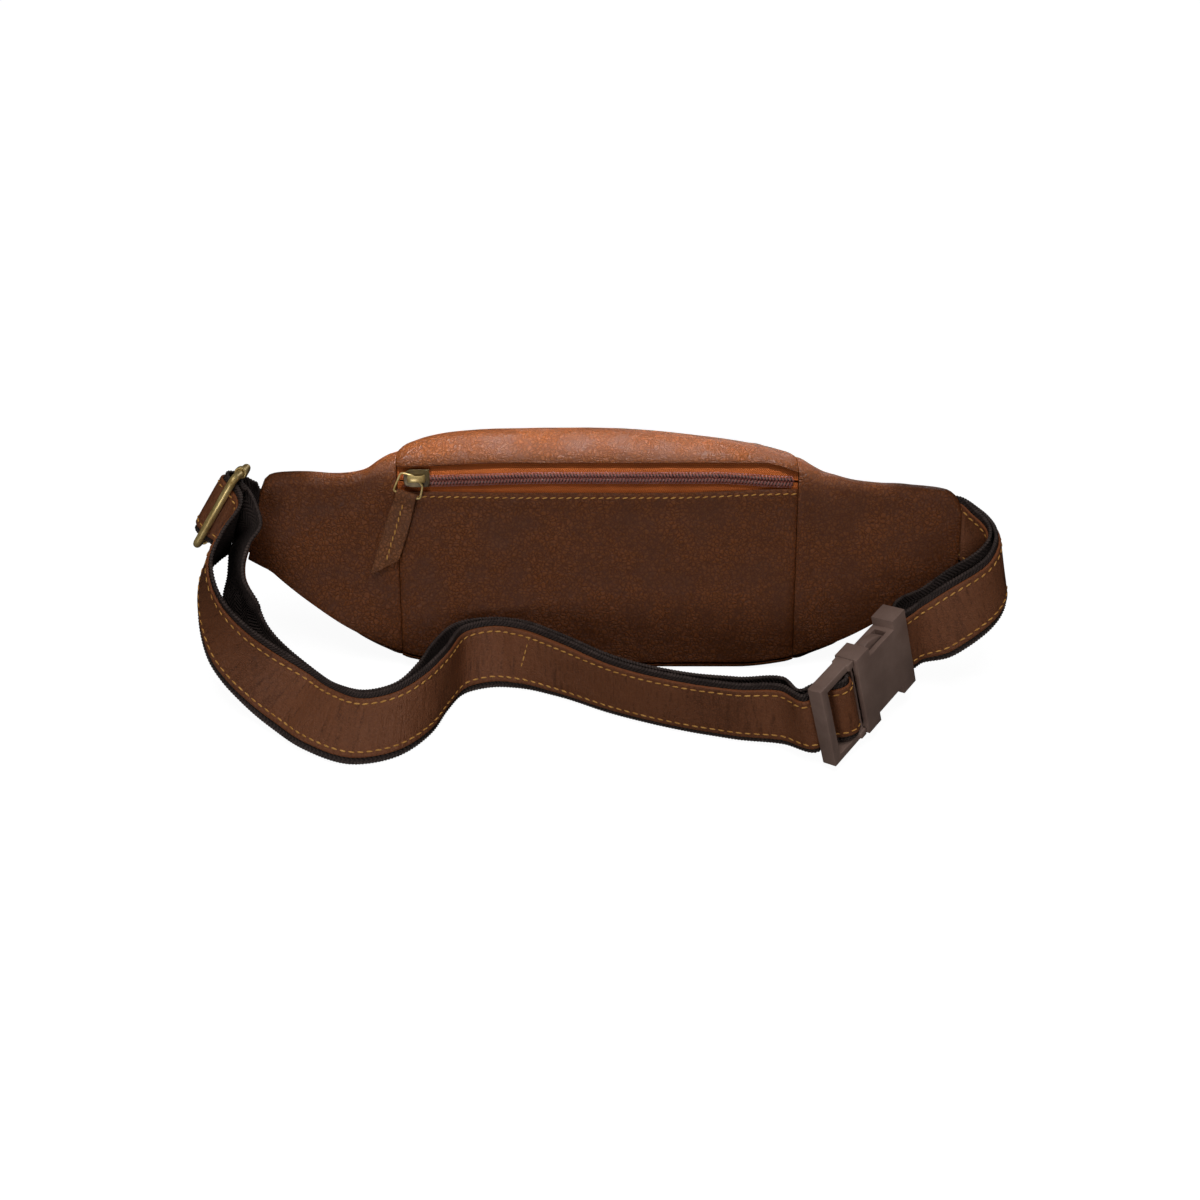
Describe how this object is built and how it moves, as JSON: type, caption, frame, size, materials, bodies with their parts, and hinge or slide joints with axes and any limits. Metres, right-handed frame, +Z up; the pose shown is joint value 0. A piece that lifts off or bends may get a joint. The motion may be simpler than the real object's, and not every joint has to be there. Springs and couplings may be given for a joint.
{
  "type": "waist pack",
  "caption": "Leather waist pack with a zipped main compartment, a zipped rear pocket, tapered wings and a leather-faced webbing belt with an adjuster and a side-release buckle.",
  "frame": {"origin": "centre of the base, where the pack stands on its support", "axes": "+X along the pack to the wearer's right as the pack is seen from behind, with the side-release buckle on that side; +Y from the rear pocket towards the front; +Z up"},
  "size_m": [0.4455, 0.1931, 0.1174],
  "materials": {
    "leather": "waxed full-grain leather, fine grain, satin",
    "strap_leather": "smooth leather strip with raw edges, satin",
    "lining": "plain woven lining, matt",
    "zip_tape": "woven zip tape, matt",
    "zip_coil": "nylon coil",
    "brass": "antique brass, lightly polished",
    "buckle": "moulded acetal, fine matt texture",
    "webbing": "woven belt webbing, matt"
  },
  "bodies": {
    "pack": {"rear_pocket_panel": "leather", "rear_yoke": "leather", "top_panel": "leather", "front_panel": "leather", "base_panel": "leather", "left_wing_rear": "leather", "left_wing_front": "leather", "right_wing_rear": "leather", "right_wing_front": "leather", "main_lining": "lining", "rear_pocket_lining": "lining", "rear_zip_tape_upper": "zip_tape", "rear_zip_tape_lower": "zip_tape", "rear_zip_coil_upper": "zip_coil", "rear_zip_coil_lower": "zip_coil", "main_zip_tape_upper": "zip_tape", "main_zip_tape_lower": "zip_tape", "main_zip_coil_upper": "zip_coil", "main_zip_coil_lower": "zip_coil", "buckle_socket": "buckle", "adjuster_frame": "brass", "adjuster_bar": "brass", "long_strap_webbing": "webbing", "long_strap_leather": "strap_leather", "short_strap_webbing": "webbing", "short_strap_leather": "strap_leather"},
    "rear_slider": {"rear_zip_slider": "brass"},
    "rear_ring": {"rear_pull_ring": "brass"},
    "rear_tab": {"rear_pull_tab": "leather"},
    "main_slider": {"main_zip_slider": "brass"},
    "main_ring": {"main_pull_ring": "brass"},
    "main_tab": {"main_pull_tab": "leather"},
    "plug": {"buckle_plug": "buckle"},
    "prong_upper": {"plug_prong_upper": "buckle"},
    "prong_lower": {"plug_prong_lower": "buckle"}
  },
  "joints": [
    {"name": "rear_slider_run", "type": "slide", "parent": "pack", "child": "rear_slider", "axis": [1, 0, 0], "range_m": [0, 0.19]},
    {"name": "rear_ring_swing", "type": "hinge", "parent": "rear_slider", "child": "rear_ring", "pos_m": [-0.1013, 0.00057, 0.10018], "axis": [-0.7071, 0.2988, 0.6409], "range_deg": [0, 90]},
    {"name": "rear_tab_swing", "type": "hinge", "parent": "rear_ring", "child": "rear_tab", "pos_m": [-0.10668, -0.00317, 0.09216], "axis": [-0.949, 0.1332, 0.2857], "range_deg": [0, 80]},
    {"name": "main_slider_run", "type": "slide", "parent": "pack", "child": "main_slider", "axis": [-1, 0, 0], "range_m": [0, 0.152]},
    {"name": "main_ring_swing", "type": "hinge", "parent": "main_slider", "child": "main_ring", "pos_m": [0.0763, 0.05317, 0.07996], "axis": [0.7071, -0.204, 0.677], "range_deg": [0, 90]},
    {"name": "main_tab_swing", "type": "hinge", "parent": "main_ring", "child": "main_tab", "pos_m": [0.08167, 0.05572, 0.07149], "axis": [0.949, -0.0909, 0.3018], "range_deg": [0, 80]},
    {"name": "plug_release", "type": "slide", "parent": "pack", "child": "plug", "axis": [-0.6358, -0.7659, -0.0958], "range_m": [0, 0.033], "deforming": ["long_strap_webbing", "long_strap_leather", "plug_prong_upper", "plug_prong_lower"]},
    {"name": "prong_upper_squeeze", "type": "hinge", "parent": "plug", "child": "prong_upper", "pos_m": [0.12663, -0.09584, 0.04245], "axis": [-0.73, 0.637, -0.2476], "range_deg": [0, 13], "stiffness_Nm_per_rad": 0.03},
    {"name": "prong_lower_squeeze", "type": "hinge", "parent": "plug", "child": "prong_lower", "pos_m": [0.1329, -0.09803, 0.01835], "axis": [0.73, -0.637, 0.2476], "range_deg": [0, 13], "stiffness_Nm_per_rad": 0.03}
  ]
}
